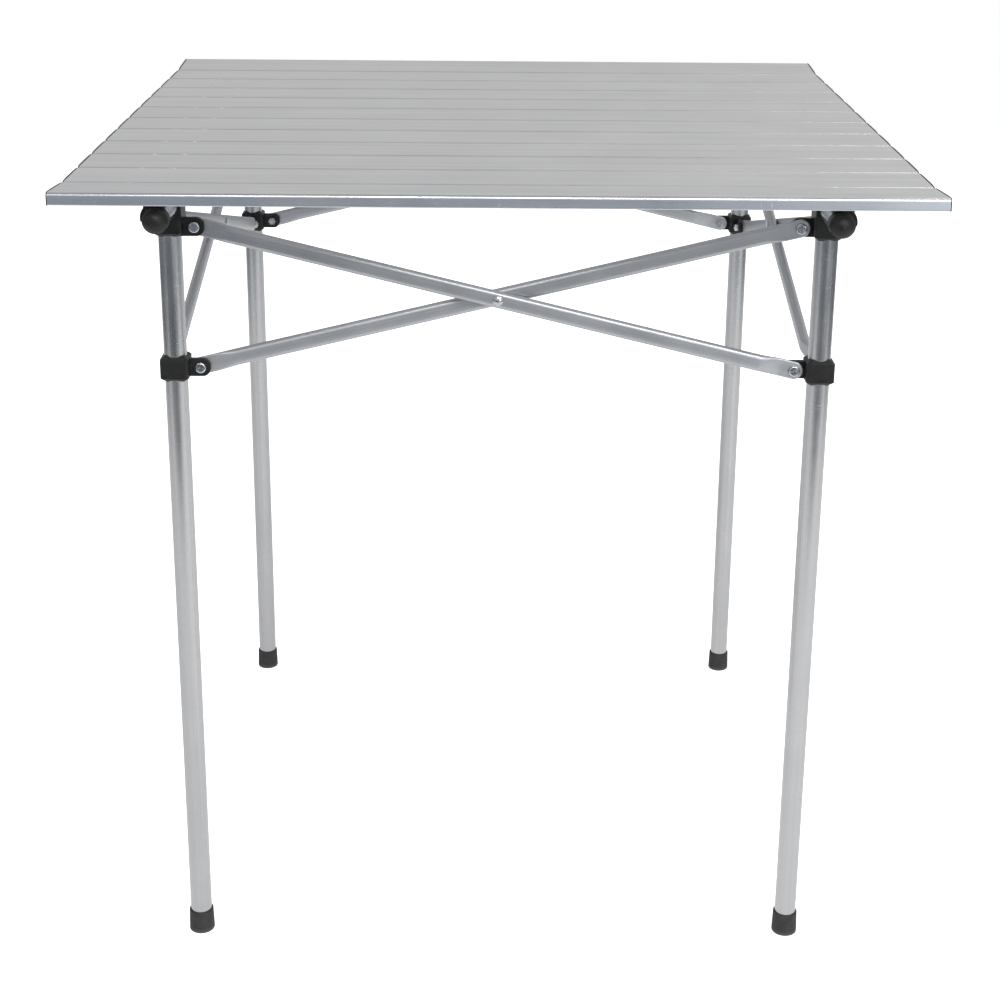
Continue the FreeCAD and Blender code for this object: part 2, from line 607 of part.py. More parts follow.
def crossing_rivet(side):
    """Domed rivet fixed in the outer bar; the inner bar turns on it."""
    outer_face = -BAR_CENTRE_GAP - BAR_THICKNESS
    inner_face = BAR_CENTRE_GAP + BAR_THICKNESS + SCREW_END_GAP
    dome_radius = (RIVET_HEAD_RADIUS ** 2 + RIVET_HEAD_RISE ** 2) / (2 * RIVET_HEAD_RISE)
    ball = Part.makeSphere(dome_radius, V(0, outer_face - RIVET_HEAD_RISE + dome_radius, 0))
    head = ball.common(rod(RIVET_HEAD_RADIUS + 1, V(0, outer_face - RIVET_HEAD_RISE - 1, 0),
                           V(0, outer_face, 0)))
    shank = rod(RIVET_RADIUS, V(0, outer_face, 0), V(0, inner_face, 0))
    tail = rod(RIVET_TAIL_RADIUS, V(0, inner_face, 0), V(0, inner_face + RIVET_TAIL_RISE, 0))
    rivet = joined([head, shank, tail])
    rivet.translate(V(0, -HALF_SPACING, CROSSING_Z))
    return turned(rivet, side)


def save(name, shape):
    shape.exportStep("parts/" + name + ".step")


os.makedirs("parts", exist_ok=True)

for number in range(SLAT_COUNT):
    save("slat_%02d" % (number + 1), slat(number))
save("elastic_cords", elastic_cords())

for place, number in (("front", 0), ("rear", SLAT_COUNT - 1)):
    save(place + "_hook_clips", hook_clips(number))
    save(place + "_clip_rivets", clip_rivets(number))

for place, side in (("left", -1), ("right", 1)):
    save(place + "_rail", rail(side))
    save(place + "_rail_caps", rail_caps(side))

for index, corner in enumerate(CORNERS):
    save("leg_" + corner, leg(index))
    save("foot_" + corner, foot(index))
    save("fitting_" + corner, top_fitting(index))
    save("fitting_screws_" + corner, fitting_screws(index))
    save("collar_" + corner, collar(index))
    save("collar_screws_" + corner, collar_screws(index))

for index, side in enumerate(SIDES):
    save("outer_bar_" + side, outer_bar(index))
    save("inner_bar_" + side, inner_bar(index))
    save("crossing_rivet_" + side, crossing_rivet(index))

print("pivot span %.2f, bar length %.2f, bar angle %.3f" % (PIVOT_SPAN, BAR_LENGTH, BAR_ANGLE))
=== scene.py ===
import json
import math

import bmesh
import bpy
from mathutils import Matrix, Vector


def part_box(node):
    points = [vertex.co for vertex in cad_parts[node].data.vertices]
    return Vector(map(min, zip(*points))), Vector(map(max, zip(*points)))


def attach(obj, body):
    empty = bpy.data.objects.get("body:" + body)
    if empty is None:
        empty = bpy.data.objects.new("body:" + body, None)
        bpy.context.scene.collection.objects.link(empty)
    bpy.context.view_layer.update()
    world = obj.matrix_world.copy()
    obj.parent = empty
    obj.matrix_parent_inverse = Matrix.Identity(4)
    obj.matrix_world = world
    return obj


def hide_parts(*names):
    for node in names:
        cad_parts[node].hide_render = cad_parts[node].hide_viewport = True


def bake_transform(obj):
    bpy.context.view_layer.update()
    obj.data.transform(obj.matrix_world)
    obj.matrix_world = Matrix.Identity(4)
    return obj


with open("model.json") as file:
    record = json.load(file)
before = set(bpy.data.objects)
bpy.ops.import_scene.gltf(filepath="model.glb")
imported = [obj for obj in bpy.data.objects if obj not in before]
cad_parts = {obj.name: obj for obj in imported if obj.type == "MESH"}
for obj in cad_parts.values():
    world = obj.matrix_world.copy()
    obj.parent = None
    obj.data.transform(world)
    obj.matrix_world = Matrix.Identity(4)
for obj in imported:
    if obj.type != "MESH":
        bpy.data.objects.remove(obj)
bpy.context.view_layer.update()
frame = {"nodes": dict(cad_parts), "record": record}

scene = bpy.context.scene
solids = frame["nodes"]
print("frame loaded,", len(solids), "solids")


# maths on sockets, shared by the materials and the geometry trees

class Link:
    # an output socket that can be written in plain arithmetic
    def __init__(self, desk, socket):
        self.desk = desk
        self.socket = socket

    def maths(self, operation, first, second):
        kind = "ShaderNodeMath"
        return self.desk.add(kind, {"operation": operation}, {0: first, 1: second})

    def __add__(self, other):
        return self.maths("ADD", self, other)

    def __radd__(self, other):
        return self.maths("ADD", other, self)

    def __sub__(self, other):
        return self.maths("SUBTRACT", self, other)

    def __rsub__(self, other):
        return self.maths("SUBTRACT", other, self)

    def __mul__(self, other):
        return self.maths("MULTIPLY", self, other)

    def __rmul__(self, other):
        return self.maths("MULTIPLY", other, self)


class Desk:
    # builds the nodes of one tree
    def __init__(self, tree):
        self.tree = tree

    def add(self, kind, settings=None, sockets=None, result=0):
        node = self.tree.nodes.new(kind)
        for key, value in (settings or {}).items():
            if key == "stops":
                elements = node.color_ramp.elements
                elements.remove(elements[1])
                elements[0].position, elements[0].color = value[0]
                for place, colour in value[1:]:
                    elements.new(place).color = colour
            else:
                setattr(node, key, value)
        for key, value in (sockets or {}).items():
            if isinstance(value, Link):
                self.tree.links.new(value.socket, node.inputs[key])
            else:
                node.inputs[key].default_value = value
        return Link(self, node.outputs[result]) if len(node.outputs) else node

    def span(self, value, low, high, newLow, newHigh):
        sockets = {0: value, 1: low, 2: high, 3: newLow, 4: newHigh}
        return self.add("ShaderNodeMapRange", {"clamp": True}, sockets)

    def tint(self, factor, first, second):
        sockets = {0: factor, 6: first, 7: second}
        return self.add("ShaderNodeMix", {"data_type": "RGBA"}, sockets, 2)

    def grain(self, vector, scale, detail=2.0, rough=0.5):
        sockets = {"Vector": vector, "Scale": scale, "Detail": detail, "Roughness": rough}
        return self.add("ShaderNodeTexNoise", None, sockets)

    def relief(self, height, strength, depth, under=None):
        sockets = {"Height": height, "Strength": strength, "Distance": depth}
        if under is not None:
            sockets["Normal"] = under
        return self.add("ShaderNodeBump", None, sockets)

    def spot(self):
        return self.add("ShaderNodeTexCoord", None, None, "Object")

    def stretched(self, direction, along, across):
        # object coordinates scaled one way along a direction and another way across it
        place = self.spot()
        dot = self.add("ShaderNodeVectorMath", {"operation": "DOT_PRODUCT"},
                       {0: place, 1: direction}, "Value")
        run = self.add("ShaderNodeVectorMath", {"operation": "SCALE"},
                       {0: direction, "Scale": dot * (along - across)})
        side = self.add("ShaderNodeVectorMath", {"operation": "SCALE"},
                        {0: place, "Scale": across})
        return self.add("ShaderNodeVectorMath", {"operation": "ADD"}, {0: run, 1: side})

    def axis(self, which):
        return self.add("ShaderNodeSeparateXYZ", None, {0: self.spot()}, which)


def finish(name, fixed, varying):
    # one Principled material: fixed values on its sockets, varying ones worked out by a function
    material = bpy.data.materials.new(name)
    material.use_nodes = True
    material.node_tree.nodes.clear()
    desk = Desk(material.node_tree)
    sockets = dict(fixed)
    sockets.update(varying(desk))
    shader = desk.add("ShaderNodeBsdfPrincipled", None, sockets)
    desk.add("ShaderNodeOutputMaterial", None, {"Surface": shader})
    return material


def grey(level, blue=0.0):
    return (level * (1 - blue), level * (1 - 0.4 * blue), level * (1 + 0.6 * blue), 1.0)


# finishes

slatLook = {
    "light": grey(0.76, 0.004),
    "dark": grey(0.66, 0.006),
    # pale colour: real wear where scuffed, painted highlight along the seam shoulders
    "wearAndSheen": grey(0.88, 0.0),
    "nick": grey(0.98, 0.0),
    # darker blue-grey for the front face: painted shade on the side facing forward
    "face": (0.46, 0.495, 0.54, 1.0),
    "pitch": 0.7 / 12,
    "roughness": (0.30, 0.42),
}


def slatFinish(desk):
    lines = desk.grain(desk.stretched((1, 0, 0), 5, 1500), 1.0, 3.0, 0.6)
    bands = desk.grain(desk.stretched((1, 0, 0), 2.2, 120), 1.0, 2.0, 0.5)
    cloud = desk.grain(desk.spot(), 14.0, 3.0, 0.55)
    scuffs = desk.grain(desk.stretched((0.78, 0.62, 0), 26, 1900), 1.0, 1.0, 0.4)
    scuffArea = desk.span(desk.grain(desk.spot(), 9.0, 2.0), 0.52, 0.66, 0.0, 1.0)
    scuffed = desk.span(scuffs, 0.70, 0.78, 0.0, 1.0) * scuffArea
    row = desk.axis("Y") * (1 / slatLook["pitch"])
    phase = desk.add("ShaderNodeMath", {"operation": "FRACT"}, {0: row + 100.0})
    fromSeam = desk.add("ShaderNodeMath", {"operation": "ABSOLUTE"}, {0: phase - 0.5})
    # the rounded shoulders along every seam and along the front and rear edges of the top are painted
    # lighter: a painted highlight
    edge = desk.span(fromSeam + lines * 0.02, 0.455, 0.492, 0.0, 1.0)
    tone = bands * 0.45 + lines * 0.25 + cloud * 0.30
    body = desk.tint(desk.span(tone, 0.36, 0.64, 0.0, 1.0), slatLook["dark"], slatLook["light"])
    # mixes in the pale colour: painted highlight on the shoulders, real wear in the scuffs
    colour = desk.tint(edge * 0.55 + scuffed * 0.35, body, slatLook["wearAndSheen"])
    nicks = desk.grain(desk.stretched((0, 0, 1), 170, 900), 1.0, 2.0, 0.6)
    nickArea = desk.span(desk.grain(desk.spot(), 26.0, 2.0), 0.48, 0.62, 0.0, 1.0)
    face = desk.span(desk.axis("Y"), -0.3486, -0.3478, 1.0, 0.0)
    nicked = desk.span(nicks, 0.66, 0.72, 0.0, 1.0) * nickArea * face
    # painted shade: the front face is tinted darker and bluer than the top of the same metal
    colour = desk.tint(face * 0.7, colour, slatLook["face"])
    colour = desk.tint(nicked * 0.9, colour, slatLook["nick"])
    low, high = slatLook["roughness"]
    gloss = desk.span(lines * 0.5 + cloud * 0.5, 0.34, 0.66, low, high) - edge * 0.05
    fine = desk.relief(lines, 0.22, 0.00006)
    return {
        "Base Color": colour,
        "Roughness": gloss + scuffed * 0.08 + nicked * 0.3,
        "Normal": desk.relief(scuffed, 0.25, 0.00005, fine),
    }


tubeLook = {
    "light": grey(0.53, 0.008),
    "dark": grey(0.46, 0.014),
    "roughness": (0.22, 0.28),
}


barMetal = {"Metallic": 0.72, "IOR": 1.6}

barLook = {
    "light": grey(0.48, 0.035),
    "dark": grey(0.41, 0.045),
    "roughness": (0.32, 0.40),
}


def tubeFinish(direction, look):
    # drawn tube: streaks that run along it, faint handling marks across it
    def varying(desk):
        streaks = desk.grain(desk.stretched(direction, 1.6, 620), 1.0, 2.0, 0.55)
        drawn = desk.grain(desk.stretched(direction, 6, 2400), 1.0, 2.0, 0.6)
        cloud = desk.grain(desk.spot(), 22.0, 3.0, 0.5)
        marks = desk.grain(desk.stretched(direction, 900, 60), 1.0, 1.0, 0.5)
        marked = desk.span(marks, 0.72, 0.80, 0.0, 1.0)
        tone = desk.span(streaks * 0.5 + drawn * 0.2 + cloud * 0.3, 0.36, 0.64, 0.0, 1.0)
        low, high = look["roughness"]
        fine = desk.relief(drawn, 0.10, 0.00004)
        return {
            "Base Color": desk.tint(tone, look["dark"], look["light"]),
            "Roughness": desk.span(streaks * 0.4 + cloud * 0.6, 0.34, 0.66, low, high) + marked * 0.1,
            "Normal": desk.relief(streaks, 0.05, 0.00005, fine),
        }
    return varying


plasticLook = {
    "light": grey(0.012, 0.01),
    "dark": grey(0.006, 0.0),
    "rubbed": grey(0.038, 0.0),
}


def plasticFinish(desk):
    pores = desk.grain(desk.spot(), 2300.0, 2.0, 0.6)
    flow = desk.grain(desk.spot(), 130.0, 4.0, 0.6)
    patches = desk.grain(desk.spot(), 38.0, 3.0, 0.5)
    rubs = desk.span(desk.grain(desk.spot(), 420.0, 3.0, 0.7), 0.60, 0.72, 0.0, 1.0)
    rubbed = rubs * desk.span(patches, 0.50, 0.62, 0.0, 1.0)
    body = desk.tint(desk.span(flow, 0.35, 0.65, 0.0, 1.0), plasticLook["dark"],
                     plasticLook["light"])
    return {
        "Base Color": desk.tint(rubbed * 0.5, body, plasticLook["rubbed"]),
        "Roughness": desk.span(flow * 0.6 + patches * 0.4, 0.35, 0.65, 0.36, 0.52),
        "Normal": desk.relief(flow, 0.10, 0.0002, desk.relief(pores, 0.35, 0.00008)),
    }


rubberLook = {
    "body": grey(0.016, 0.0),
    "bloom": grey(0.028, 0.0),
    "dust": (0.20, 0.19, 0.17, 1.0),
    "dustHeight": 0.005,
}


def rubberFinish(desk):
    speck = desk.grain(desk.spot(), 1500.0, 3.0, 0.65)
    patches = desk.grain(desk.spot(), 160.0, 4.0, 0.6)
    height = desk.axis("Z")
    uneven = height + patches * 0.004
    dusty = desk.span(uneven, 0.002, rubberLook["dustHeight"] + 0.002, 1.0, 0.0)
    body = desk.tint(desk.span(patches, 0.36, 0.66, 0.0, 1.0), rubberLook["body"],
                     rubberLook["bloom"])
    return {
        "Base Color": desk.tint(dusty * 0.35, body, rubberLook["dust"]),
        "Roughness": desk.span(speck, 0.3, 0.7, 0.62, 0.82),
        "Normal": desk.relief(speck, 0.45, 0.00012),
    }


zincLook = {
    "light": (0.60, 0.61, 0.62, 1.0),
    "dark": (0.42, 0.44, 0.47, 1.0),
}


def zincFinish(desk):
    cells = desk.add("ShaderNodeTexVoronoi", {"feature": "F1"},
                     {"Vector": desk.spot(), "Scale": 900.0}, "Color")
    cell = desk.add("ShaderNodeSeparateColor", None, {0: cells})
    film = desk.grain(desk.spot(), 300.0, 3.0, 0.6)
    fine = desk.grain(desk.spot(), 3500.0, 1.0)
    tone = desk.span(cell * 0.4 + film * 0.6, 0.25, 0.70, 0.0, 1.0)
    return {
        "Base Color": desk.tint(tone, zincLook["dark"], zincLook["light"]),
        "Roughness": desk.span(film, 0.35, 0.65, 0.16, 0.30),
        "Normal": desk.relief(fine, 0.12, 0.00003),
    }


cordLook = {
    "light": (0.80, 0.80, 0.77, 1.0),
    "dark": (0.45, 0.45, 0.43, 1.0),
    "strand": 0.0011,       # width of one braided strand
}


def cordFinish(desk):
    turn = 2 * math.pi / (2 * cordLook["strand"])
    x = desk.axis("X")
    y = desk.axis("Y")
    one = desk.add("ShaderNodeMath", {"operation": "SINE"}, {0: (x + y) * turn})
    two = desk.add("ShaderNodeMath", {"operation": "SINE"}, {0: (x - y) * turn})
    braid = one * two * 0.5 + 0.5
    fuzz = desk.grain(desk.spot(), 2600.0, 2.0)
    return {
        "Base Color": desk.tint(desk.span(braid + fuzz * 0.3, 0.2, 1.0, 0.0, 1.0),
                                cordLook["dark"], cordLook["light"]),
        "Roughness": desk.span(fuzz, 0.3, 0.7, 0.75, 0.92),
        "Normal": desk.relief(braid, 0.8, 0.0003),
    }


nylonLook = {"light": (0.86, 0.86, 0.84, 1.0), "dark": (0.70, 0.70, 0.68, 1.0)}


def nylonFinish(desk):
    cloud = desk.grain(desk.spot(), 500.0, 3.0)
    return {
        "Base Color": desk.tint(desk.span(cloud, 0.35, 0.65, 0.0, 1.0), nylonLook["dark"],
                                nylonLook["light"]),
        "Roughness": desk.span(cloud, 0.3, 0.7, 0.35, 0.5),
        "Normal": desk.relief(desk.grain(desk.spot(), 3000.0), 0.1, 0.00005),
    }


metal = {"Metallic": 1.0}
slatMetal = finish("brushedSlatAluminium", metal, slatFinish)
legMetal = finish("drawnLegTube", metal, tubeFinish((0, 0, 1), tubeLook))
railMetal = finish("drawnRailTube", metal, tubeFinish((0, 1, 0), tubeLook))
plastic = finish("mouldedBlackPlastic", {"IOR": 1.50, "Specular IOR Level": 0.35}, plasticFinish)
rubber = finish("blackFootRubber", {"IOR": 1.52}, rubberFinish)
zinc = finish("brightZincPlate", metal, zincFinish)
nylon = finish("paleNylon", {"IOR": 1.53}, nylonFinish)
cordFabric = finish("braidedElastic", {"IOR": 1.5, "Sheen Weight": 0.25}, cordFinish)


def dress(solid, material):
    solid.data.materials.clear()
    solid.data.materials.append(material)


for name, solid in sorted(solids.items()):
    if name.startswith("slat_"):
        dress(solid, slatMetal)
    elif name.startswith("leg_"):
        dress(solid, legMetal)
    elif name in ("left_rail", "right_rail"):
        dress(solid, railMetal)
    elif name.startswith(("outer_bar", "inner_bar")):
        dress(solid, legMetal)
    elif name.startswith("foot_"):
        dress(solid, rubber)
    elif "screws" in name or "rivet" in name:
        dress(solid, zinc)
    elif name == "elastic_cords":
        dress(solid, cordFabric)
    else:
        dress(solid, plastic)
print("finishes on the solids")


# brace bars: tubes with pressed ends

barSize = {
    "endThick": 0.0030,
    "endHigh": 0.0150,
    "endRound": 0.0011,
    "bodyHigh": 0.0140,
    "bodyRound": 0.0036,
    "flat": 0.0110,         # pivot to where the pressed end begins to swell
    "swell": 0.0210,
    "steps": 7,             # points in each corner of a ring
}
joints = {joint["name"]: joint for joint in frame["record"]["behaviour"]["joints"]}
upperPivot = Vector(joints["frame_fold"]["pos_m"])
lowerPivot = Vector(joints["front_right_collar_pivot"]["pos_m"])
barLength = (lowerPivot - upperPivot).length


def eased(value, low, high):
    t = min(max((value - low) / (high - low), 0.0), 1.0)
    return t * t * (3 - 2 * t)


def barStations():
    # distances along the bar, close together at the tips and over the swells
    half = barSize["endHigh"] / 2
    tip = [-half * math.cos(math.pi / 2 * i / 12) for i in range(1, 13)]
    swellEnd = barSize["flat"] + barSize["swell"]
    ramp = [barSize["flat"] + barSize["swell"] * i / 16 for i in range(17)]
    left = tip + [0.004, 0.008] + ramp
    middle = [swellEnd + (barLength - 2 * swellEnd) * i / 12 for i in range(1, 12)]
    right = [barLength - x for x in reversed(left)]
    return left + middle + right


def barRing(x, bodyDepth, endDepth):
    # one closed outline across the bar, as (depth, height) points
    fromEnd = min(x, barLength - x)
    grown = eased(fromEnd, barSize["flat"], barSize["flat"] + barSize["swell"])
    half = barSize["endHigh"] / 2
    if fromEnd < 0:
        high = math.sqrt(max(half ** 2 - fromEnd ** 2, 1e-9))
    else:
        high = half + (barSize["bodyHigh"] / 2 - half) * grown
    near = endDepth[0] + (bodyDepth[0] - endDepth[0]) * grown
    far = endDepth[1] + (bodyDepth[1] - endDepth[1]) * grown
    corner = barSize["endRound"] + (barSize["bodyRound"] - barSize["endRound"]) * grown
    corner = min(corner, high * 0.98, (far - near) * 0.49)
    points = []
    for number, (y, z) in enumerate([(far - corner, high - corner), (near + corner, high - corner),
                                     (near + corner, corner - high), (far - corner, corner - high)]):
        for step in range(barSize["steps"]):
            angle = math.radians(90 * number + 90 * step / (barSize["steps"] - 1))
            points.append((y + corner * math.cos(angle), z + corner * math.sin(angle)))
    return points


def makeBar(name, start, end, bodyDepth, endDepth, quarter):
    run = (end - start).normalized()
    inward = Vector((0, 1, 0))
    rise = run.cross(inward)
    turn = Matrix.Rotation(math.radians(90) * quarter, 3, "Z")
    points, faces = [], []
    stations = barStations()
    for x in stations:
        for y, z in barRing(x, bodyDepth, endDepth):
            points.append(turn @ (start + run * x + inward * y + rise * z))
    count = len(points) // len(stations)
    for ring in range(len(stations) - 1):
        for i in range(count):
            here, after = ring * count, (ring + 1) * count
            faces.append((here + i, here + (i + 1) % count, after + (i + 1) % count, after + i))
    faces.append(tuple(range(count))[::-1])
    faces.append(tuple(range((len(stations) - 1) * count, len(stations) * count)))
    mesh = bpy.data.meshes.new(name)
    mesh.from_pydata([tuple(p) for p in points], [], faces)
    mesh.shade_smooth()
    heading = tuple(turn @ run)
    metalwork = finish("drawnBar_" + name, barMetal, tubeFinish(heading, barLook))
    mesh.materials.append(metalwork)
    piece = bpy.data.objects.new(name, mesh)
    scene.collection.objects.link(piece)
    return piece


def facesOut(piece):
    # turns the faces of a closed mesh outwards
    shape = bmesh.new()
    shape.from_mesh(piece.data)
    bmesh.ops.recalc_face_normals(shape, faces=shape.faces)
    shape.to_mesh(piece.data)
    shape.free()


legPlane = upperPivot.y
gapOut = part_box("outer_bar_front")[1].y - legPlane      # the outer bar's inner face
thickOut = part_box("outer_bar_front")[1].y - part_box("outer_bar_front")[0].y
upperRight = Vector((lowerPivot.x, legPlane, upperPivot.z))
lowerLeft = Vector((upperPivot.x, legPlane, lowerPivot.z))
for quarter, side in enumerate(["front", "right", "rear", "left"]):
    outer = makeBar("outerBar_" + side, upperPivot, lowerPivot, (gapOut - thickOut, gapOut),
                    (gapOut - barSize["endThick"], gapOut), quarter)
    inner = makeBar("innerBar_" + side, lowerLeft, upperRight, (-gapOut, thickOut - gapOut),
                    (-gapOut, barSize["endThick"] - gapOut), quarter)
    for piece, node in ((outer, "outer_bar_" + side), (inner, "inner_bar_" + side)):
        facesOut(piece)
        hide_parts(node)
        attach(piece, node)
print("brace bars")


# geometry trees

def newTree(name, inputs):
    tree = bpy.data.node_groups.new(name, "GeometryNodeTree")
    tree.interface.new_socket("Geometry", in_out="INPUT", socket_type="NodeSocketGeometry")
    for label, kind in inputs:
        tree.interface.new_socket(label, in_out="INPUT", socket_type="NodeSocket" + kind)
    tree.interface.new_socket("Geometry", in_out="OUTPUT", socket_type="NodeSocketGeometry")
    desk = Desk(tree)
    start = tree.nodes.new("NodeGroupInput")
    given = {socket.name: Link(desk, socket) for socket in start.outputs if socket.name}
    return tree, desk, given


def close(desk, shape, material):
    real = desk.add("GeometryNodeRealizeInstances", None, {0: shape})
    done = desk.add("GeometryNodeSetMaterial", None, {"Geometry": real, "Material": material})
    end = desk.tree.nodes.new("NodeGroupOutput")
    desk.tree.links.new(done.socket, end.inputs[0])


def joined(desk, parts):
    node = desk.tree.nodes.new("GeometryNodeJoinGeometry")
    for part in parts:
        desk.tree.links.new(part.socket, node.inputs[0])
    return Link(desk, node.outputs[0])


def vectorOf(desk, x, y, z):
    return desk.add("ShaderNodeCombineXYZ", None, {0: x, 1: y, 2: z})


def grown(name, seed, tree, values):
    # runs a tree on a seed mesh and keeps the plain result as a new piece
    mesh = bpy.data.meshes.new(name + "Seed")
    mesh.from_pydata(*seed)
    holder = bpy.data.objects.new(name + "Holder", mesh)
    scene.collection.objects.link(holder)
    modifier = holder.modifiers.new("grow", "NODES")
    modifier.node_group = tree
    for item in tree.interface.items_tree:
        if item.in_out == "INPUT" and item.name in values:
            modifier[item.identifier] = values[item.name]
    holder.update_tag()
    evaluated = holder.evaluated_get(bpy.context.evaluated_depsgraph_get())
    result = bpy.data.meshes.new_from_object(evaluated)
    result.name = name
    piece = bpy.data.objects.new(name, result)
    scene.collection.objects.link(piece)
    bpy.data.objects.remove(holder)
    return piece


def bevelled(piece, width, steps):
    modifier = piece.modifiers.new("edges", "BEVEL")
    modifier.width = width
    modifier.segments = steps
    modifier.limit_method = "ANGLE"
    modifier.angle_limit = math.radians(40)
    modifier.harden_normals = True
    piece.data.shade_smooth()


# strips in the open ends of the slats

stripSize = {
    "gap": 0.00003,
    "bow": 0.0009,          # how much thinner the strip is at its two edges
    "upperRound": 0.0034,
    "lowerRound": 0.0016,
    "proud": 0.0002,        # how far the strip stands past the slat's outline
    "edge": 0.00045,
    "columns": 22,
}


def stripTree():
    inputs = [("Half Length", "Float"), ("Strip Thickness", "Float"), ("Middle", "Float"),
              ("Half Width", "Float"), ("Bow", "Float"), ("Strip Material", "Material")]
    tree, desk, given = newTree("endStrips", inputs)
    half, thick = given["Half Length"], given["Strip Thickness"]
    outline = given["Geometry"]
    raised = desk.add("GeometryNodeExtrudeMesh", {"mode": "FACES"},
                      {"Mesh": outline, "Offset Scale": thick, "Individual": False})
    place = desk.add("GeometryNodeInputPosition")
    y = desk.add("ShaderNodeSeparateXYZ", None, {0: place}, "Y")
    x = desk.add("ShaderNodeSeparateXYZ", None, {0: place}, "X")
    share = desk.add("ShaderNodeMath", {"operation": "DIVIDE"},
                     {0: y - given["Middle"], 1: given["Half Width"]})
    sink = share * share * share * share * given["Bow"]
    outer = desk.add("FunctionNodeCompare", {"operation": "GREATER_THAN"}, {0: x, 1: thick * 0.5})
    bowed = desk.add("GeometryNodeSetPosition", None,
                     {"Geometry": raised, "Selection": outer,
                      "Offset": vectorOf(desk, 0.0 - sink, 0.0, 0.0)})
    back = desk.add("GeometryNodeFlipFaces", None, {"Mesh": outline})
    strip = desk.add("GeometryNodeMergeByDistance", None,
                     {"Geometry": joined(desk, [bowed, back]), "Distance": 0.00001})
    ends = desk.add("GeometryNodeMeshLine", {"mode": "OFFSET"},
                    {"Count": 2, "Start Location": vectorOf(desk, half, 0.0, 0.0),
                     "Offset": vectorOf(desk, -2.0 * half, 0.0, 0.0)})
    number = desk.add("GeometryNodeInputIndex")
    turn = desk.add("ShaderNodeMath", {"operation": "MULTIPLY"}, {0: number, 1: math.pi})
    placed = desk.add("GeometryNodeInstanceOnPoints", None,
                      {"Points": ends, "Instance": strip, "Rotation": vectorOf(desk, 0.0, 0.0, turn)})
    close(desk, placed, given["Strip Material"])
    return tree


def stripColumns(y0, y1, z0, z1):
    # the slat's end outline as a row of upright edges, (y, lower z, upper z)
    grow = stripSize["proud"]
    y0, y1, z0, z1 = y0 - grow, y1 + grow, z0 - grow, z1 + grow
    low, high = stripSize["lowerRound"], stripSize["upperRound"]
    columns = []
    for i in range(stripSize["columns"] + 1):
        y = (y0 + y1) / 2 - (y1 - y0) / 2 * math.cos(math.pi * i / stripSize["columns"])
        inset = min(y - y0, y1 - y)
        top = z1 - high + math.sqrt(max(high ** 2 - max(high - inset, 0) ** 2, 0))
        bottom = z0 + low - math.sqrt(max(low ** 2 - max(low - inset, 0) ** 2, 0))
        columns.append((y, bottom, top))
    return columns


slatCount = 12
pitch = slatLook["pitch"]
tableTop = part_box("slat_06")[1].z
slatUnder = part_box("slat_06")[0].z
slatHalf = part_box("slat_06")[1].x
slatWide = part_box("slat_06")[1].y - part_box("slat_06")[0].y
stripThick = 0.0017
frontEdge = -pitch * slatCount / 2


def seamY(number):
    return frontEdge + number * pitch


def slatTilt(number):
    # the matrix that takes a level slat to where the slat really lies
    if number not in (0, slatCount - 1):
        return Matrix.Identity(4)
    seam = seamY(1) if number == 0 else seamY(slatCount - 1)
    turn = -endTiltAngle if number == 0 else endTiltAngle
    hinge = Matrix.Translation((0, seam, tableTop))
    return hinge @ Matrix.Rotation(turn, 4, "X") @ hinge.inverted()


def measureTilt():
    # slope of the end slat's upper face, from the rise of its highest vertices
    solid = solids["slat_12"]
    seam = seamY(slatCount - 1)
    upper = [v.co for v in solid.data.vertices if v.co.z > tableTop - 0.0005]
    far = max(upper, key=lambda co: co.z)
    return math.atan2(far.z - tableTop, far.y - seam)


endTiltAngle = measureTilt()
strips = stripTree()
for number in range(slatCount):
    body = "slat_%02d" % (number + 1)
    middle = (seamY(number) + seamY(number + 1)) / 2
    columns = stripColumns(-slatWide / 2, slatWide / 2, slatUnder, tableTop)
    points = [(0, y, z) for y, low, high in columns for z in (low, high)]
    quads = [(2 * i, 2 * i + 2, 2 * i + 3, 2 * i + 1) for i in range(len(columns) - 1)]
    piece = grown("endStrips_%02d" % (number + 1), (points, [], quads), strips,
                  {"Half Length": slatHalf + stripSize["gap"],
                   "Strip Thickness": stripThick, "Middle": 0.0, "Half Width": slatWide / 2,
                   "Bow": stripSize["bow"], "Strip Material": plastic})
    piece.data.transform(slatTilt(number) @ Matrix.Translation((0, middle, 0)))
    bevelled(piece, stripSize["edge"], 3)
    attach(piece, body)
print("end strips on", slatCount, "slats")


# elastic cords, one length across each seam

cordSize = {
    "radius": 0.0016,
    "bend": 0.004,          # half the length that bends when a seam opens
    "knot": 0.0032,
    "rings": 38,
    "sides": 14,
}
cordLow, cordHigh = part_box("elastic_cords")


def cordPlaces():
    # the four runs, found as the groups of vertices along X
    found = []
    for vertex in solids["elastic_cords"].data.vertices:
        if not any(abs(vertex.co.x - x) < 2.2 * cordSize["knot"] for x in found):
            found.append(vertex.co.x)
    places = []
    for x in sorted(found):
        near = [v.co.x for v in solids["elastic_cords"].data.vertices
                if abs(v.co.x - x) < 2.2 * cordSize["knot"]]
        places.append((min(near) + max(near)) / 2)
    return places


def cordTree():
    inputs = [("Cord Length", "Float"), ("Cord Radius", "Float"), ("Rings", "Int"),
              ("Sides", "Int"), ("Cord Material", "Material")]
    tree, desk, given = newTree("cordLengths", inputs)
    line = desk.add("GeometryNodeCurvePrimitiveLine", None,
                    {"End": vectorOf(desk, 0.0, given["Cord Length"], 0.0)})
    fine = desk.add("GeometryNodeResampleCurve", None, {"Curve": line, "Count": given["Rings"]})
    ring = desk.add("GeometryNodeCurvePrimitiveCircle", None,
                    {"Resolution": given["Sides"], "Radius": given["Cord Radius"]})
    tube = desk.add("GeometryNodeCurveToMesh", None,
                    {"Curve": fine, "Profile Curve": ring, "Fill Caps": True})
    placed = desk.add("GeometryNodeInstanceOnPoints", None,
                      {"Points": given["Geometry"], "Instance": tube})
    close(desk, placed, given["Cord Material"])
    return tree


